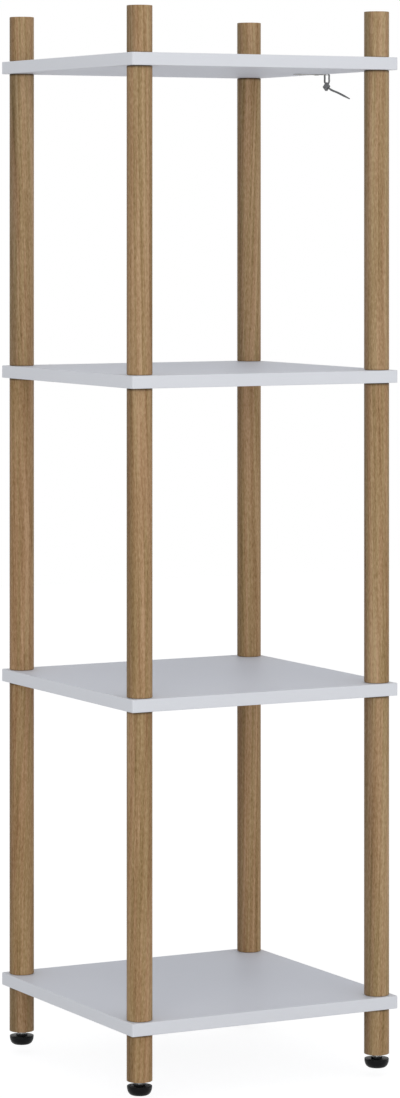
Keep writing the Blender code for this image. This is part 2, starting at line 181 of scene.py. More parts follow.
# Light and floor
AMBIENT = 0.56
AMBIENT_COLOR = (0.97, 0.985, 1.02)
LAMP_SIZE = 2.5
LAMP_AIM = 0.65  # height that every lamp points at
FLOOR_SIZE = 12.0
FLOOR_LEVEL = -0.0103  # just clear of the feet when they are wound right out
FLOOR_COLOR = (0.75, 0.75, 0.75)  # in the light that it throws back at the shelf
FLOOR_SHADE = (0.26, 0.26, 0.26)  # to the camera, on top of the glow
FLOOR_GLOW = 0.88

# Meshes
SHARP_ANGLE = radians(32)
MERGE = 0.0000005  # points closer than this are welded


class Look:
    """A new node material, with short calls for the nodes that the finishes use."""

    def __init__(self, name):
        self.material = bpy.data.materials.new(name)
        self.material.use_nodes = True
        self.tree = self.material.node_tree
        self.shader = self.tree.nodes["Principled BSDF"]

    def node(self, kind, inputs, **settings):
        made = self.tree.nodes.new(kind)
        for name, value in settings.items():
            setattr(made, name, value)
        for name, value in inputs.items():
            self.set(made.inputs[name], value)
        return made

    def set(self, socket, value):
        if isinstance(value, bpy.types.NodeSocket):
            self.tree.links.new(value, socket)
        else:
            socket.default_value = value

    def finish(self, **inputs):
        """Sets the shader's sockets, named with _ for a space."""
        for name, value in inputs.items():
            self.set(self.shader.inputs[name.replace("_", " ")], value)
        return self.material

    def attribute(self, name):
        return self.node("ShaderNodeAttribute", {}, attribute_name=name).outputs["Vector"]

    def attribute_value(self, name):
        return self.node("ShaderNodeAttribute", {}, attribute_name=name).outputs["Fac"]

    def object_place(self):
        return self.node("ShaderNodeTexCoord", {}).outputs["Object"]

    def vector(self, operation, first, second):
        return self.node("ShaderNodeVectorMath", {0: first, 1: second}, operation=operation).outputs[0]

    def math(self, operation, first, second=0.0):
        return self.node("ShaderNodeMath", {0: first, 1: second}, operation=operation).outputs[0]

    def length(self, vector):
        return self.node("ShaderNodeVectorMath", {0: vector}, operation="LENGTH").outputs["Value"]

    def noise(self, place, scales, detail=2.0, roughness=0.5, output="Fac"):
        """Noise whose cells measure 1 / scales along each axis."""
        stretched = self.vector("MULTIPLY", place, scales)
        inputs = {"Vector": stretched, "Scale": 1.0, "Detail": detail, "Roughness": roughness}
        return self.node("ShaderNodeTexNoise", inputs).outputs[output]

    def ramp(self, share, low, high, start=0.0, end=1.0):
        """The share, smoothly mapped from low..high to start..end."""
        inputs = {"Value": share, "From Min": low, "From Max": high, "To Min": start, "To Max": end}
        return self.node("ShaderNodeMapRange", inputs, interpolation_type="SMOOTHSTEP").outputs["Result"]

    def colors(self, share, stops):
        """A colour ramp through (position, colour) stops."""
        made = self.node("ShaderNodeValToRGB", {"Fac": share})
        elements = made.color_ramp.elements
        while len(elements) < len(stops):
            elements.new(1.0)
        for element, (position, color) in zip(elements, stops):
            element.position = position
            element.color = (*color, 1.0)
        return made.outputs["Color"]

    def weighted(self, base, *terms):
        """base plus each (value, weight), with every value centred on a half."""
        total = base
        for value, weight in terms:
            centred = self.math("SUBTRACT", value, 0.5)
            total = self.math("ADD", total, self.math("MULTIPLY", centred, weight))
        return total

    def blend(self, share, first, second):
        """From the first colour to the second by the share."""
        inputs = {"Fac": share, "Color1": first, "Color2": second}
        return self.node("ShaderNodeMixRGB", inputs).outputs["Color"]

    def scaled(self, vector, factor):
        inputs = {"Vector": vector, "Scale": factor}
        return self.node("ShaderNodeVectorMath", inputs, operation="SCALE").outputs[0]

    def bump(self, height, strength, distance):
        inputs = {"Height": height, "Strength": strength, "Distance": distance}
        return self.node("ShaderNodeBump", inputs).outputs["Normal"]


def oak_look():
    """Oiled oak, read from where each point lay in its log: growth rings, streaks, fibres and open pores.

    Each piece has its own tint. Painted shade darkens the side towards the pith, which faces the camera's
    left, and the top few millimetres of a piece that stands under a board.
    """
    look = Look("oak")
    place = look.attribute("grain")
    wobble = look.noise(place, (18.0, 18.0, 4.0), detail=2.0, output="Color")
    drift = look.vector("MULTIPLY", look.vector("SUBTRACT", wobble, (0.5, 0.5, 0.5)), (0.007, 0.007, 0.0))
    across = look.vector("MULTIPLY", look.vector("ADD", place, drift), (1.0, 1.0, 0.0))
    rings = look.math("DIVIDE", look.length(across), RING_WIDTH)
    share = look.math("FRACT", rings)
    early = look.ramp(share, 0.0, 0.45, 1.0, 0.0)
    year = look.node("ShaderNodeTexWhiteNoise", {"W": look.math("FLOOR", rings)}, noise_dimensions="1D")
    streak = look.noise(place, (250.0, 250.0, 3.0), detail=3.0, roughness=0.55)
    mottle = look.noise(place, (700.0, 700.0, 190.0), detail=3.0)
    fibre = look.noise(place, (1500.0, 1500.0, 40.0), detail=3.0, roughness=0.6)
    patch = look.noise(place, (70.0, 70.0, 3.0), detail=1.0)
    warmth = look.noise(place, (190.0, 190.0, 2.5), detail=2.0)
    pore_noise = look.noise(place, (2400.0, 2400.0, 110.0), detail=1.0)
    pore = look.math("MULTIPLY", look.ramp(pore_noise, 0.56, 0.68), look.ramp(early, 0.0, 1.0, 0.35, 1.0))

    tone = look.weighted(
        0.49,
        (streak, 1.05),
        (mottle, 1.0),
        (fibre, 0.4),
        (patch, 0.55),
        (year.outputs["Value"], 0.12),
        (early, -0.1),
        (pore, -0.35),
    )
    olive = look.colors(
        tone,
        [
            (0.0, (0.139, 0.080, 0.027)),
            (0.35, (0.268, 0.168, 0.068)),
            (0.7, (0.388, 0.257, 0.122)),
            (1.0, (0.500, 0.350, 0.188)),
        ],
    )
    tan = look.colors(
        tone,
        [
            (0.0, (0.158, 0.080, 0.031)),
            (0.35, (0.300, 0.169, 0.075)),
            (0.7, (0.426, 0.260, 0.135)),
            (1.0, (0.540, 0.353, 0.203)),
        ],
    )
    blend = look.blend(look.ramp(warmth, 0.35, 0.65), olive, tan)
    # painted shade: the wood darkens within a few millimetres below an upper end, under the board
    end_shade = look.ramp(look.attribute_value("from_end"), 0.0, END_SHADE_DEPTH, END_SHADE_TONE, 1.0)
    # painted shade: every piece is darker on its pith side, turned towards the camera's left
    side_shade = look.ramp(look.attribute_value("from_shaded_side"), -1.0, -0.35, SIDE_SHADE_TONE, 1.0)
    tinted = look.vector("MULTIPLY", blend, look.attribute("tint"))
    color = look.scaled(tinted, look.math("MULTIPLY", end_shade, side_shade))
    relief = look.math("SUBTRACT", look.math("MULTIPLY", fibre, 0.4), pore)
    return look.finish(
        Base_Color=color,
        Roughness=look.weighted(0.58, (fibre, 0.15), (pore, 0.12)),
        Specular_IOR_Level=0.12,
        Normal=look.bump(relief, 0.35, 0.00012),
    )


def melamine_look():
    """White melamine face: a fine pebbled press texture with slightly uneven sheen."""
    look = Look("white_melamine")
    place = look.object_place()
    pebble = look.noise(place, (1300.0, 1300.0, 1300.0), detail=2.0)
    cloud = look.noise(place, (9.0, 9.0, 9.0), detail=3.0)
    tone = look.weighted(0.5, (cloud, 0.5), (pebble, 0.25))
    color = look.colors(tone, [(0.0, (0.728, 0.748, 0.802)), (1.0, (0.796, 0.816, 0.870))])
    return look.finish(
        Base_Color=color,
        Roughness=look.weighted(0.5, (cloud, 0.16), (pebble, 0.1)),
        Specular_IOR_Level=0.12,
        Normal=look.bump(pebble, 0.2, 0.00008),
    )


def band_look():
    """White edge band: a smooth extrusion with faint lines along its length."""
    look = Look("white_edge_band")
    place = look.object_place()
    lines = look.noise(place, (25.0, 25.0, 2600.0), detail=2.0)
    cloud = look.noise(place, (14.0, 14.0, 40.0), detail=2.0)
    tone = look.weighted(0.5, (cloud, 0.5), (lines, 0.25))
    color = look.colors(tone, [(0.0, (0.766, 0.779, 0.812)), (1.0, (0.824, 0.837, 0.870))])
    return look.finish(
        Base_Color=color,
        Roughness=look.weighted(0.42, (cloud, 0.14), (lines, 0.1)),
        Specular_IOR_Level=0.2,
        Normal=look.bump(lines, 0.12, 0.00004),
    )


def steel_look():
    """Zinc plated steel: grey, with drawn lines, plating clouds and fine scratches."""
    look = Look("zinc_steel")
    place = look.object_place()
    drawn = look.noise(place, (60.0, 2200.0, 2200.0), detail=3.0)
    cloud = look.noise(place, (180.0, 180.0, 180.0), detail=3.0)
    tone = look.weighted(0.5, (cloud, 0.9), (drawn, 0.5))
    color = look.colors(tone, [(0.0, (0.32, 0.315, 0.302)), (1.0, (0.50, 0.493, 0.472))])
    return look.finish(
        Base_Color=color,
        Metallic=1.0,
        Roughness=look.weighted(0.28, (cloud, 0.2), (drawn, 0.15)),
        Normal=look.bump(drawn, 0.15, 0.00005),
    )


def dark_steel_look():
    """Blackened steel of the spindles' collars, with fine turning lines round the axis."""
    look = Look("dark_steel")
    place = look.object_place()
    lines = look.noise(place, (150.0, 150.0, 3200.0), detail=2.0)
    cloud = look.noise(place, (320.0, 320.0, 320.0), detail=3.0)
    tone = look.weighted(0.5, (cloud, 0.9), (lines, 0.5))
    color = look.colors(tone, [(0.0, (0.010, 0.010, 0.011)), (1.0, (0.030, 0.030, 0.032))])
    return look.finish(
        Base_Color=color,
        Metallic=1.0,
        Roughness=look.weighted(0.28, (cloud, 0.2), (lines, 0.1)),
        Normal=look.bump(lines, 0.15, 0.00005),
    )


def plastic_look():
    """Black moulded plastic with a fine spark-eroded surface and a little rubbed grey."""
    look = Look("black_plastic")
    place = look.object_place()
    grit = look.noise(place, (2600.0, 2600.0, 2600.0), detail=2.0)
    rub = look.noise(place, (260.0, 260.0, 260.0), detail=4.0)
    tone = look.weighted(0.3, (rub, 0.8), (grit, 0.3))
    color = look.colors(tone, [(0.0, (0.0022, 0.0024, 0.0028)), (1.0, (0.0068, 0.0071, 0.0078))])
    return look.finish(
        Base_Color=color,
        Roughness=look.weighted(0.4, (rub, 0.2), (grit, 0.1)),
        Specular_IOR_Level=0.12,
        Normal=look.bump(grit, 0.25, 0.00006),
    )


def nylon_look():
    """Grey moulded nylon, slightly waxy."""
    look = Look("grey_nylon")
    place = look.object_place()
    haze = look.noise(place, (420.0, 420.0, 420.0), detail=3.0)
    grain = look.noise(place, (3000.0, 3000.0, 3000.0), detail=1.0)
    tone = look.weighted(0.5, (haze, 0.7), (grain, 0.3))
    color = look.colors(tone, [(0.0, (0.185, 0.187, 0.190)), (1.0, (0.285, 0.287, 0.290))])
    return look.finish(
        Base_Color=color,
        Roughness=look.weighted(0.42, (haze, 0.25), (grain, 0.1)),
        Specular_IOR_Level=0.15,
        Normal=look.bump(grain, 0.12, 0.00004),
    )


def linked(obj):
    bpy.context.scene.collection.objects.link(obj)
    return obj


def settled(obj, helpers=()):
    """The object's evaluated mesh, welded, with smooth sides and sharp corners. Object and helpers go."""
    for piece in (obj, *helpers):
        linked(piece)
    evaluated = obj.evaluated_get(bpy.context.evaluated_depsgraph_get())
    mesh = bpy.data.meshes.new_from_object(evaluated)
    mesh.name = obj.name
    for piece in (obj, *helpers):
        bpy.data.objects.remove(piece, do_unlink=True)
    form = bmesh.new()
    form.from_mesh(mesh)
    bmesh.ops.remove_doubles(form, verts=form.verts, dist=MERGE)
    bmesh.ops.recalc_face_normals(form, faces=form.faces)
    form.to_mesh(mesh)
    form.free()
    mesh.shade_smooth()
    mesh.set_sharp_from_angle(angle=SHARP_ANGLE)
    return mesh


def combined(name, mesh, others, operation):
    """The mesh joined with, cut by or kept inside the other meshes, one Boolean after another."""
    base = bpy.data.objects.new(name, mesh)
    helpers = []
    for other in others:
        helper = bpy.data.objects.new(other.name, other)
        boolean = base.modifiers.new(other.name, "BOOLEAN")
        boolean.operation = operation
        boolean.object = helper
        helpers.append(helper)
    return settled(base, helpers)


def turned(name, profile, sides):
    """Mesh turned about Z from (radius, height) points: out from the axis, down the outer side and back."""
    mesh = bpy.data.meshes.new(name)
    outline = bmesh.new()
    points = [outline.verts.new((radius, 0.0, height)) for radius, height in profile]
    for start, end in zip(points, points[1:]):
        outline.edges.new((start, end))
    outline.to_mesh(mesh)
    outline.free()
    blank = bpy.data.objects.new(name, mesh)
    screw = blank.modifiers.new("Turn", "SCREW")
    screw.steps = sides
    screw.render_steps = sides
    screw.use_merge_vertices = True
    screw.merge_threshold = MERGE
    return settled(blank)


def banded(name, rings, material_of_strip=lambda strip: 0):
    """Closed mesh through equal rings of points, top ring first, with both ends filled."""
    mesh = bpy.data.meshes.new(name)
    form = bmesh.new()
    levels = [[form.verts.new(point) for point in ring] for ring in rings]
    count = len(levels[0])
    form.faces.new(levels[0])
    form.faces.new(list(reversed(levels[-1])))
    for strip, (upper, lower) in enumerate(zip(levels, levels[1:])):
        for here in range(count):
            after = (here + 1) % count
            face = form.faces.new((upper[here], lower[here], lower[after], upper[after]))
            face.material_index = material_of_strip(strip)
    form.to_mesh(mesh)
    form.free()
    return mesh


def arc(centre, radius, start, end, steps):
    """Points along a circular arc, angles in degrees."""
    angles = [radians(start + (end - start) * step / steps) for step in range(steps + 1)]
    return [(centre[0] + radius * cos(angle), centre[1] + radius * sin(angle)) for angle in angles]


def rounded_rectangle(half_x, half_y, radius, steps):
    """Points anticlockwise round a rectangle with round corners."""
    corners = [(1, 1, 0), (-1, 1, 90), (-1, -1, 180), (1, -1, 270)]
    points = []
    for side_x, side_y, start in corners:
        centre = (side_x * (half_x - radius), side_y * (half_y - radius))
        points += arc(centre, radius, start, start + 90, steps)
    return points


def box_mesh(name, size, matrix):
    mesh = bpy.data.meshes.new(name)
    form = bmesh.new()
    bmesh.ops.create_cube(form, size=1.0)
    bmesh.ops.scale(form, verts=form.verts, vec=size)
    bmesh.ops.transform(form, verts=form.verts, matrix=matrix)
    form.to_mesh(mesh)
    form.free()
    return mesh


def dress(name, mesh, materials, place, body, slot, *nodes):
    """A piece at its place that rides on the body and stands for the nodes."""
    for material in materials:
        mesh.materials.append(material)
    piece = linked(bpy.data.objects.new(name, mesh))
    piece.location = place
    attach(piece, body)
    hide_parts(*nodes)
    return piece


def centre_of(node):
    low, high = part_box(node)
    return (low + high) / 2


def base_of(node):
    """Middle of the underside of a node's box."""
    low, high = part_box(node)
    return Vector(((low.x + high.x) / 2, (low.y + high.y) / 2, low.z))


def board_mesh(name, size):
    """Board centred on its origin: faces inside an edge band with rounded arrises and a hairline seam."""
    half = size / 2
    seam = [
        (BAND_THICKNESS + SEAM_HALF_WIDTH, half.z),
        (BAND_THICKNESS, half.z - SEAM_DEPTH),
        (BAND_THICKNESS - SEAM_HALF_WIDTH, half.z),
    ]
    rounding = [
        (ARRIS - inward, half.z - ARRIS + rise)
        for inward, rise in arc((0.0, 0.0), ARRIS, 90, 0, ARRIS_STEPS)
    ]
    upper = seam + rounding
    section = upper + [(inset, -height) for inset, height in reversed(upper)]
    rings = []
    for inset, height in section:
        outline = rounded_rectangle(half.x - inset, half.y - inset, BOARD_CORNER - inset, CORNER_STEPS)
        rings.append([(x, y, height) for x, y in outline])
    last_strip = len(rings) - 2

    def material_of_strip(strip):
        return 0 if strip in (0, last_strip) else 1

    return banded(name, rings, material_of_strip)


def add_boards(melamine, band):
    stations = [centre_of(f"leg_{corner}") for corner in CORNERS]
    for shelf in SHELVES:
        node = f"{shelf}_shelf"
        low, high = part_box(node)
        middle = (low + high) / 2
        board = board_mesh(node, high - low)
        depth = 2 * (high.z - low.z)  # well past both faces
        bores = []
        for corner, station in zip(CORNERS, stations):
            bore = turned(
                f"bore_{corner}",
                [(0.0, depth), (STUD_BORE_RADIUS, depth), (STUD_BORE_RADIUS, -depth), (0.0, -depth)],
                SMALL_SIDES,
            )
            bore.transform(Matrix.Translation((station.x - middle.x, station.y - middle.y, 0.0)))
            bores.append(bore)
        drilled = combined(node, board, bores, "DIFFERENCE")
        piece = dress(f"{shelf}_board", drilled, [melamine, band], middle, ROOT, "white_melamine", node)
        even = piece.modifiers.new("Even shading", "WEIGHTED_NORMAL")
        even.keep_sharp = True


def store_grain(mesh, draws, shaded_top):
    """Keeps on each point its place in the log and, for the painted shade, its side from the pith and its
    depth below an upper end under a board.
    """
    # the pith, and with it the painted shade, lies towards the camera's left
    turn = VIEW_TURN + draws.uniform(-HEART_AND_SHADE_SWAY, HEART_AND_SHADE_SWAY)
    pith = draws.uniform(*PITH_DISTANCE)
    along = draws.uniform(0.0, LOG_LENGTH)
    lean = (draws.uniform(-PITH_LEAN, PITH_LEAN), draws.uniform(-PITH_LEAN, PITH_LEAN))
    points = np.empty(len(mesh.vertices) * 3, np.float32)
    mesh.vertices.foreach_get("co", points)
    x, y, z = points.reshape(-1, 3).T
    outward = cos(turn) * x - sin(turn) * y
    in_log = np.column_stack(
        (
            outward + pith + lean[0] * z,
            sin(turn) * x + cos(turn) * y + lean[1] * z,
            z + along,
        )
    )
    grain = mesh.attributes.new("grain", "FLOAT_VECTOR", "POINT")
    grain.data.foreach_set("vector", in_log.astype(np.float32).ravel())
    from_shaded_side = mesh.attributes.new("from_shaded_side", "FLOAT", "POINT")
    from_shaded_side.data.foreach_set("value", (outward / outward.max()).astype(np.float32))
    from_end = mesh.attributes.new("from_end", "FLOAT", "POINT")
    # depth below the top end, for the painted shade under a board; a finial's top takes none
    depth = z.max() - z if shaded_top else np.full_like(z, END_SHADE_DEPTH)
    from_end.data.foreach_set("value", depth.astype(np.float32))


def store_tint(mesh, depth):
    """Keeps the piece's own tint on its points: paler below 0, darker and warmer above it."""
    tint = np.array([1.0 - depth * share for share in TINT_DEPTH], np.float32)
    kept = mesh.attributes.new("tint", "FLOAT_VECTOR", "POINT")
    kept.data.foreach_set("vector", np.tile(tint, len(mesh.vertices)))


def post_mesh(name, tier, radius, length):
    """A turned post piece standing on its origin, with its bores and softened ends."""
    bore, depth = STUD_BORE_RADIUS, STUD_BORE_DEPTH
    upper_bore = [(0.0, length - depth), (bore, length - depth), (bore, length)]
    lower_bore = [(bore, 0.0), (bore, depth), (0.0, depth)]
    upper_end = [(radius - POST_CHAMFER, length), (radius, length - POST_CHAMFER)]
    lower_end = [(radius, POST_CHAMFER), (radius - POST_CHAMFER, 0.0)]
    if tier == "finial":
        crown = arc((radius - FINIAL_ROUND, length - FINIAL_ROUND), FINIAL_ROUND, 90, 0, ARRIS_STEPS)
        return turned(name, [(0.0, length), *crown, *lower_end, *lower_bore], POST_SIDES)
    if tier == "leg":
        lower_end = [(radius, LEG_CHAMFER), (radius - LEG_CHAMFER, 0.0)]
        seats = [FLANGE_SEAT, INSERT_SEAT, SPINDLE_SEAT]
        stepped = []
        level = 0.0
        for seat_radius, seat_depth in seats:
            stepped += [(seat_radius, level), (seat_radius, seat_depth)]
            level = seat_depth
        stepped.append((0.0, level))
        return turned(name, [*upper_bore, *upper_end, *lower_end, *stepped], POST_SIDES)
    return turned(name, [*upper_bore, *upper_end, *lower_end, *lower_bore], POST_SIDES)


def add_posts(oak):
    draws = random.Random(GRAIN_SEED)
    depths = random.Random(TINT_SEED)
    for tier in POST_TIERS:
        for corner in CORNERS:
            node = f"{tier}_{corner}"
            low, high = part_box(node)
            mesh = post_mesh(node, tier, (high.x - low.x) / 2, high.z - low.z)
            store_grain(mesh, draws, tier != "finial")
            store_tint(mesh, depths.uniform(-1.0, 1.0))
            dress(f"oak_{node}", mesh, [oak], base_of(node), ROOT, "oak", node)


def thread_mesh(base, top):
    """Screw thread about Z, as a rod whose radius follows a right-hand helix."""
    rows = round((top - base) / THREAD_PITCH * THREAD_ROWS)
    rings = []
    for row in range(rows, -1, -1):
        height = base + (top - base) * row / rows
        fade = min(1.0, (top - height) / THREAD_PITCH)
        ring = []
        for side in range(SMALL_SIDES):
            turn = side / SMALL_SIDES
            phase = (height / THREAD_PITCH - turn) % 1.0
            crest = min(1.0, THREAD_FLANK * min(phase, 1.0 - phase))
            radius = THREAD_RADIUS - THREAD_DEPTH * (1.0 - crest * fade)
            angle = 2 * pi * turn
            ring.append((radius * cos(angle), radius * sin(angle), height))
        rings.append(ring)
    return banded("thread", rings)


def spindle_mesh(thread_top):
    """Threaded rod with plain shank, hexagon collar, neck and swivel head. Z is 0 at the pad's top."""
    collar_base = RUN_CLEARANCE
    collar_top = collar_base + COLLAR_HEIGHT
    corner_radius = COLLAR_ACROSS_FLATS / 2 / cos(pi / 6)
    barrel_end = corner_radius - COLLAR_CHAMFER / cos(pi / 6)
    barrel = turned(
        "collar",
        [
            (0.0, collar_top),
            (barrel_end, collar_top),
            (corner_radius, collar_top - COLLAR_CHAMFER),
            (corner_radius, collar_base + COLLAR_CHAMFER),
            (barrel_end, collar_base),
            (0.0, collar_base),
        ],
        SMALL_SIDES,
    )
    hexagon = bpy.data.meshes.new("hexagon")
    form = bmesh.new()
    bmesh.ops.create_cone(
        form,
        cap_ends=True,
        segments=6,
        radius1=corner_radius,
        radius2=corner_radius,
        depth=4 * COLLAR_HEIGHT,  # well past both ends of the barrel
    )
    form.to_mesh(hexagon)
    form.free()
    collar = combined("collar", barrel, [hexagon], "INTERSECT")
    head_top = -(PAD_LIP + RUN_CLEARANCE)
    head_base = head_top - SWIVEL_HEIGHT
    middle = collar_base + COLLAR_HEIGHT / 2
    shank_top = collar_top + SHANK_LENGTH
    neck = turned(
        "neck",
        [
            (0.0, shank_top),
            (SHANK_RADIUS, shank_top),
            (SHANK_RADIUS, middle),
            (NECK_RADIUS, middle),
            (NECK_RADIUS, head_top),
            (SWIVEL_RADIUS, head_top),
            (SWIVEL_RADIUS, head_base),
            (0.0, head_base),
        ],
        SMALL_SIDES,
    )
    thread = thread_mesh(shank_top - THREAD_PITCH, thread_top)
    spindle = combined("spindle", collar, [neck, thread], "UNION")
    for face in spindle.polygons:
        beside_rod = face.center.xy.length > THREAD_RADIUS + COLLAR_CHAMFER
        face.material_index = 1 if beside_rod and face.center.z > 0.0 else 0
    return spindle


def pad_mesh(height):
    """Moulded dish with a blunt elliptical side, a flat base and a lipped socket for the swivel head."""
    mouth = NECK_RADIUS + RUN_CLEARANCE
    socket = SWIVEL_RADIUS + RUN_CLEARANCE
    socket_top = height - PAD_LIP
    socket_floor = socket_top - SWIVEL_HEIGHT - 2 * RUN_CLEARANCE
    side_height = height - PAD_RIM_ROUND
    rim = arc((PAD_RADIUS - PAD_RIM_ROUND, side_height), PAD_RIM_ROUND, 90, 0, ARRIS_STEPS)
    quarter = [pi / 2 * step / PAD_SIDE_STEPS for step in range(1, PAD_SIDE_STEPS + 1)]
    flare = PAD_RADIUS - PAD_BASE_RADIUS
    side = [
        (
            PAD_BASE_RADIUS + flare * max(cos(angle), 0.0) ** PAD_SIDE_POWER,
            side_height * (1 - sin(angle) ** PAD_SIDE_POWER),
        )
        for angle in quarter
    ]
    return turned(
        "pad",
        [
            (0.0, socket_floor),
            (socket, socket_floor),
            (socket, socket_top),
            (mouth, socket_top),
            (mouth, height),
            *rim,
            *side,
            (0.0, 0.0),
        ],
        POST_SIDES,
    )


def insert_mesh(length, flange_radius):
    """Flanged thread insert, standing on the leg's lower end."""
    bore = THREAD_RADIUS + RUN_CLEARANCE
    return turned(
        "insert",
        [
            (bore, length),
            (INSERT_RADIUS, length),
            (INSERT_RADIUS, INSERT_FLANGE_THICKNESS),
            (flange_radius, INSERT_FLANGE_THICKNESS),
            (flange_radius, 0.0),
            (bore, 0.0),
            (bore, length),
        ],
        SMALL_SIDES,
    )


def add_feet(plastic, dark_steel, steel):
    for corner in CORNERS:
        pad = f"foot_pad_{corner}"
        low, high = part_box(pad)
        seat = Vector((*base_of(pad).xy, high.z))
        body = f"pad_{corner}"
        mesh = pad_mesh(high.z - low.z)
        dress(body, mesh, [plastic], base_of(pad), body, "black_plastic", pad)

        spindle = f"foot_spindle_{corner}"
        body = f"spindle_{corner}"
        mesh = spindle_mesh(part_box(spindle)[1].z - seat.z)
        dress(body, mesh, [steel, dark_steel], seat, body, "zinc_steel", spindle)

        insert = f"foot_insert_{corner}"
        low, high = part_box(insert)
        mesh = insert_mesh(high.z - low.z, (high.x - low.x) / 2)
        dress(f"insert_{corner}", mesh, [steel], base_of(insert), ROOT, "zinc_steel", insert)


def bracket_mesh(length, width, thickness, screw_places):
    """Steel strip along X with softened edges and an eye, its origin, at the round outer end."""
    half = width / 2
    inner = half - length + BRACKET_CORNER
    corner = half - BRACKET_CORNER
    outline = [
        *arc((0.0, 0.0), half, -90, 90, 2 * CORNER_STEPS),
        *arc((inner, corner), BRACKET_CORNER, 90, 180, CORNER_STEPS),
        *arc((inner, -corner), BRACKET_CORNER, 180, 270, CORNER_STEPS),
    ]
    holes = [(0.0, EYE_RADIUS)] + [(place, SCREW_HOLE_RADIUS) for place in screw_places]
    rims = [arc((place, 0.0), radius, 0, 360, SMALL_SIDES)[:-1] for place, radius in holes]
    curve = bpy.data.curves.new("bracket", "CURVE")
    curve.dimensions = "2D"
    curve.fill_mode = "BOTH"
    curve.extrude = thickness / 2 - BRACKET_EDGE
    curve.bevel_depth = BRACKET_EDGE
    curve.bevel_resolution = BRACKET_EDGE_STEPS
    curve.offset = -BRACKET_EDGE
    for points in [outline, *rims]:
        spline = curve.splines.new("POLY")
        spline.points.add(len(points) - 1)
        for point, (x, y) in zip(spline.points, points):
            point.co = (x, y, 0.0, 1.0)
        spline.use_cyclic_u = True
    return settled(bpy.data.objects.new("bracket", curve))


def screw_mesh(tip, head_radius, head_height):
    """Pan head screw pointing up from its seat, with a cross recess in the head's underside."""
    dome = []
    for angle in range(0, 91, SCREW_DOME_STEP):
        drop = SCREW_RIM_SHARE + (1 - SCREW_RIM_SHARE) * sin(radians(angle))
        dome.append((head_radius * cos(radians(angle)), -head_height * drop))
    body = turned(
        "screw",
        [
            (0.0, tip),
            (SCREW_SHANK_RADIUS, tip - SCREW_POINT),
            (SCREW_SHANK_RADIUS, 0.0),
            (head_radius, 0.0),
            *dome,
        ],
        SMALL_SIDES,
    )
    lift = Matrix.Translation((0.0, 0.0, -head_height))
    slots = [
        box_mesh("slot_along", (CROSS_LENGTH, CROSS_WIDTH, 2 * CROSS_DEPTH), lift),
        box_mesh("slot_across", (CROSS_WIDTH, CROSS_LENGTH, 2 * CROSS_DEPTH), lift),
    ]
    return combined("screw", body, slots, "DIFFERENCE")


def add_bracket(steel):
    low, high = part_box("wall_bracket")
    width = high.y - low.y
    eye = Vector((high.x - width / 2, (low.y + high.y) / 2, (low.z + high.z) / 2))
    places = [centre_of(f"bracket_screw_{name}").x - eye.x for name in SCREWS]
    mesh = bracket_mesh(high.x - low.x, width, high.z - low.z, places)
    dress("bracket_strip", mesh, [steel], eye, ROOT, "zinc_steel", "wall_bracket")
    for name in SCREWS:
        node = f"bracket_screw_{name}"
        bottom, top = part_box(node)
        seat = Vector((*base_of(node).xy, low.z - RUN_CLEARANCE))
        mesh = screw_mesh(top.z - seat.z, (top.x - bottom.x) / 2, seat.z - bottom.z)
        dress(f"screw_{name}", mesh, [steel], seat, ROOT, "zinc_steel", node)


def from_head(tailward, upward):
    """(reach, rise) from the swing axis of a point given along the head's slot and across it."""
    return (
        HEAD_OFFSET - cos(HEAD_TURN) * tailward - sin(HEAD_TURN) * upward,
        -LOOP_DROP - sin(HEAD_TURN) * tailward + cos(HEAD_TURN) * upward,
    )


def strap_route(bar_thickness):
    """Strap's centre line as (reach towards the eye, rise): root, loop over the metal, slot and tail."""
    half_strap = STRAP_THICKNESS / 2
    half_bar = bar_thickness / 2
    over = half_bar + LOOP_PLAY + half_strap
    inner = BAR_HALF_WIDTH + LOOP_EYE_PLAY + half_strap
    outer = -(BAR_HALF_WIDTH + LOOP_END_PLAY + half_strap)
    mouth = from_head(HEAD_DEPTH / 2, SLOT_OFFSET)

    def down_tail(run):
        return (mouth[0] - cos(TAIL_SLOPE) * run, mouth[1] - sin(TAIL_SLOPE) * run)

    return [
        from_head(0.0, STRAP_ROOT),
        (outer, -LOOP_DROP * LOOP_WAIST),
        (outer, -LOOP_DROP * LOOP_BELLY),
        (outer, -half_bar),
        (outer * LOOP_SHOULDER, over * LOOP_SHOULDER),
        (0.0, over),
        (inner * LOOP_SHOULDER, over * LOOP_SHOULDER),
        (inner, -half_bar),
        (inner, -LOOP_DROP * LOOP_BELLY),
        (inner, -LOOP_DROP * LOOP_WAIST),
        from_head(-HEAD_DEPTH / 2, SLOT_OFFSET),
        mouth,
        down_tail(TAIL_LENGTH / 2),
        down_tail(TAIL_LENGTH),
    ]


def smooth_line(route):
    """Evenly spaced points along a smooth curve through the route, with the distance run at each."""
    curve = bpy.data.curves.new("route", "CURVE")
    curve.dimensions = "2D"
    curve.resolution_u = ROUTE_STEPS
    spline = curve.splines.new("BEZIER")
    spline.bezier_points.add(len(route) - 1)
    for point, (reach, rise) in zip(spline.bezier_points, route):
        point.co = (reach, rise, 0.0)
        point.handle_left_type = "AUTO"
        point.handle_right_type = "AUTO"
    carrier = linked(bpy.data.objects.new("route", curve))
    evaluated = carrier.evaluated_get(bpy.context.evaluated_depsgraph_get())
    line = bpy.data.meshes.new_from_object(evaluated)
    bpy.data.objects.remove(carrier, do_unlink=True)
    points = np.array([vertex.co for vertex in line.vertices])[:, :2]
    run = np.concatenate(([0.0], np.cumsum(np.linalg.norm(np.diff(points, axis=0), axis=1))))
    stations = np.linspace(0.0, run[-1], round(run[-1] / STRAP_STEP))
    return np.column_stack([np.interp(stations, run, points[:, axis]) for axis in (0, 1)]), stations


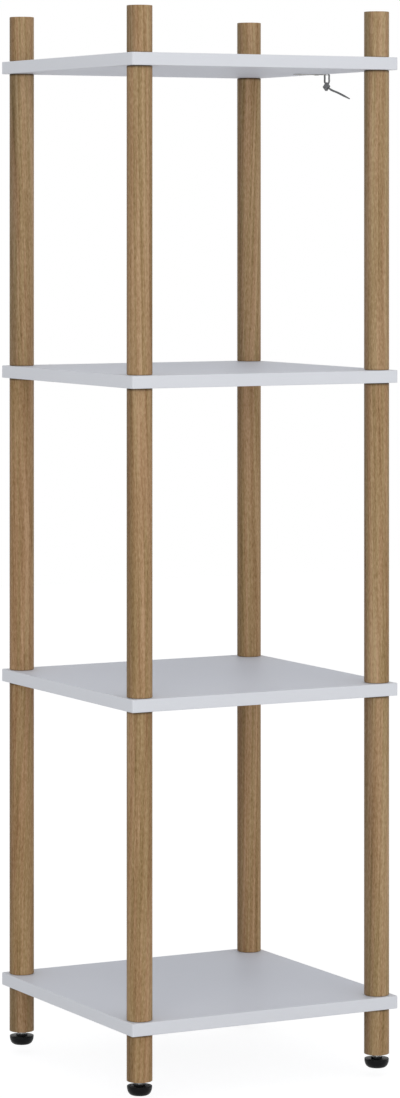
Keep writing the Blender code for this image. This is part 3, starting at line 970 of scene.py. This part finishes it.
def strap_mesh(bar_thickness):
    """Strap with its reach along X, its width along Y and ratchet teeth on the inside of the loop."""
    line, stations = smooth_line(strap_route(bar_thickness))
    ahead = np.gradient(line, axis=0)
    ahead /= np.linalg.norm(ahead, axis=1)[:, None]
    across = np.column_stack((-ahead[:, 1], ahead[:, 0]))
    narrowing = np.clip((stations[-1] - stations) / TAIL_TAPER, 0.0, 1.0)
    half_widths = STRAP_WIDTH / 2 * (TAIL_TIP_SHARE + (1.0 - TAIL_TIP_SHARE) * narrowing)
    past_head = np.clip((stations - stations[-1] + TAIL_LENGTH) / TAIL_TWIST_RUN, 0.0, 1.0)
    twists = TAIL_TWIST * past_head * past_head * (3.0 - 2.0 * past_head)
    teeth = TOOTH_DEPTH * ((stations / TOOTH_PITCH) % 1.0)
    thick = STRAP_THICKNESS / 2
    rings = []
    for middle, normal, half, tooth, twist in zip(line, across, half_widths, teeth, twists):
        land = half - STRAP_RAIL
        section = [
            (half, thick - STRAP_EDGE),
            (half - STRAP_EDGE, thick),
            (STRAP_EDGE - half, thick),
            (-half, thick - STRAP_EDGE),
            (-half, STRAP_EDGE - thick),
            (STRAP_EDGE - half, -thick),
            (-land, -thick),
            (-land, tooth - thick),
            (land, tooth - thick),
            (land, -thick),
            (half - STRAP_EDGE, -thick),
            (half, STRAP_EDGE - thick),
        ]
        ring = []
        for wide, high in section:
            reach, rise = middle + normal * (wide * sin(twist) + high * cos(twist))
            ring.append((reach, wide * cos(twist) - high * sin(twist), rise))
        rings.append(ring)
    return banded("strap", rings)


def head_mesh():
    """The tie's head, with softened edges and a slot that the strap runs through."""
    reach, rise = from_head(0.0, 0.0)
    turn = Matrix.Rotation(-HEAD_TURN, 4, "Y")
    block = box_mesh("block", (HEAD_DEPTH, HEAD_WIDTH, HEAD_LENGTH), Matrix.Identity(4))
    blank = bpy.data.objects.new("head", block)
    soften = blank.modifiers.new("Round", "BEVEL")
    soften.width = HEAD_ROUND
    soften.segments = HEAD_ROUND_STEPS
    rounded = settled(blank)
    slot_size = (2 * HEAD_DEPTH, STRAP_WIDTH + 2 * SLOT_PLAY, STRAP_THICKNESS + 2 * SLOT_PLAY)
    slot = box_mesh("slot", slot_size, Matrix.Translation((0.0, 0.0, SLOT_OFFSET)))
    mouth_size = (2 * MOUTH_DEPTH, STRAP_WIDTH + 2 * SLOT_PLAY, MOUTH_HEIGHT)
    mouths = []
    for side in (-1, 1):
        middle = (side * HEAD_DEPTH / 2, 0.0, SLOT_OFFSET - MOUTH_LAG)
        mouths.append(box_mesh("mouth", mouth_size, Matrix.Translation(middle)))
    head = combined("head", rounded, [slot, *mouths], "DIFFERENCE")
    head.transform(Matrix.Translation((reach, 0.0, rise)) @ turn)
    return head


def add_tie(nylon):
    swing = next(joint for joint in frame["joints"] if joint["name"] == "tie_swing")
    low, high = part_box("wall_bracket")
    mesh = combined("tie", strap_mesh(high.z - low.z), [head_mesh()], "UNION")
    mesh.transform(Matrix.Rotation(pi - TIE_TURN, 4, "Z"))
    dress("nylon_tie", mesh, [nylon], swing["pos_m"], "tie", "grey_nylon", "cable_tie")


def finish_studs(steel):
    """The joining studs inside the posts keep their solids and take the plated finish."""
    for shelf in SHELVES:
        for corner in CORNERS:
            materials = frame["nodes"][f"{shelf}_stud_{corner}"].data.materials
            materials.clear()
            materials.append(steel)


def seen_directly(tree):
    """1 for rays from the camera, also by way of a mirror or glass, and 0 for the rest."""
    rays = tree.nodes.new("ShaderNodeLightPath").outputs
    total = rays["Is Camera Ray"]
    for name in ("Is Glossy Ray", "Is Transmission Ray"):
        add = tree.nodes.new("ShaderNodeMath")
        add.use_clamp = True
        tree.links.new(total, add.inputs[0])
        tree.links.new(rays[name], add.inputs[1])
        total = add.outputs[0]
    return total


def make_world():
    """Cool even light from all round, behind a white backdrop that only the camera and mirrors see."""
    world = bpy.data.worlds.new("studio")
    bpy.context.scene.world = world
    world.use_nodes = True
    tree = world.node_tree
    backdrop = tree.nodes["Background"]
    backdrop.inputs["Color"].default_value = (1.0, 1.0, 1.0, 1.0)
    ambient = tree.nodes.new("ShaderNodeBackground")
    ambient.inputs["Color"].default_value = (*AMBIENT_COLOR, 1.0)
    ambient.inputs["Strength"].default_value = AMBIENT
    choice = tree.nodes.new("ShaderNodeMixShader")
    tree.links.new(seen_directly(tree), choice.inputs["Fac"])
    tree.links.new(ambient.outputs[0], choice.inputs[1])
    tree.links.new(backdrop.outputs[0], choice.inputs[2])
    tree.links.new(choice.outputs[0], tree.nodes["World Output"].inputs["Surface"])


def floor_look():
    """Pale floor that looks white to the camera and still takes a soft shadow."""
    material = bpy.data.materials.new("pale_floor")
    material.use_nodes = True
    tree = material.node_tree
    tree.nodes.remove(tree.nodes["Principled BSDF"])
    output = tree.nodes["Material Output"]
    plain = tree.nodes.new("ShaderNodeBsdfDiffuse")
    plain.inputs["Color"].default_value = (*FLOOR_COLOR, 1.0)
    shaded = tree.nodes.new("ShaderNodeBsdfDiffuse")
    shaded.inputs["Color"].default_value = (*FLOOR_SHADE, 1.0)
    glow = tree.nodes.new("ShaderNodeEmission")
    glow.inputs["Strength"].default_value = FLOOR_GLOW
    lit = tree.nodes.new("ShaderNodeAddShader")
    tree.links.new(shaded.outputs[0], lit.inputs[0])
    tree.links.new(glow.outputs[0], lit.inputs[1])
    choice = tree.nodes.new("ShaderNodeMixShader")
    tree.links.new(seen_directly(tree), choice.inputs["Fac"])
    tree.links.new(plain.outputs[0], choice.inputs[1])
    tree.links.new(lit.outputs[0], choice.inputs[2])
    tree.links.new(choice.outputs[0], output.inputs["Surface"])
    return material


def make_floor():
    mesh = bpy.data.meshes.new("floor")
    form = bmesh.new()
    bmesh.ops.create_grid(form, x_segments=1, y_segments=1, size=FLOOR_SIZE / 2)
    form.to_mesh(mesh)
    form.free()
    mesh.materials.append(floor_look())
    floor = linked(bpy.data.objects.new("floor", mesh))
    floor.location.z = FLOOR_LEVEL


def make_lamp(name, turn, height, distance, power):
    """Soft square lamp, turned round the shelf from the camera's side towards its right."""
    aim = Vector((0.0, 0.0, LAMP_AIM))
    bearing = VIEW_TURN - turn
    spot = Vector((-sin(bearing) * distance, -cos(bearing) * distance, height))
    light = bpy.data.lights.new(name, "AREA")
    light.shape = "SQUARE"
    light.size = LAMP_SIZE
    light.energy = power
    lamp = linked(bpy.data.objects.new(name, light))
    lamp.location = spot
    lamp.rotation_euler = (aim - spot).to_track_quat("-Z", "Y").to_euler()
    lamp.visible_camera = False


def make_lamps():
    make_lamp("right_lamp", turn=radians(50), height=1.0, distance=4.0, power=19.0)
    make_lamp("front_lamp", turn=radians(-10), height=1.0, distance=4.0, power=36.0)
    make_lamp("top_lamp", turn=radians(10), height=4.2, distance=2.0, power=12.0)


def make_camera():
    ahead = Vector((sin(VIEW_TURN), cos(VIEW_TURN), 0.0))
    right = Vector((cos(VIEW_TURN), -sin(VIEW_TURN), 0.0))
    data = bpy.data.cameras.new("camera")
    data.lens = LENS
    data.shift_y = LENS_SHIFT
    camera = linked(bpy.data.objects.new("camera", data))
    camera.location = right * CAMERA_SIDE - ahead * CAMERA_DISTANCE + Vector((0.0, 0.0, CAMERA_HEIGHT))
    camera.rotation_euler = (pi / 2, 0.0, -VIEW_TURN)
    bpy.context.scene.camera = camera


bpy.context.scene.view_settings.view_transform = "Standard"
make_camera()
make_world()
make_floor()
make_lamps()

oak = oak_look()
steel = steel_look()
add_boards(melamine_look(), band_look())
add_posts(oak)
add_feet(plastic_look(), dark_steel_look(), steel)
add_bracket(steel)
add_tie(nylon_look())
finish_studs(steel)
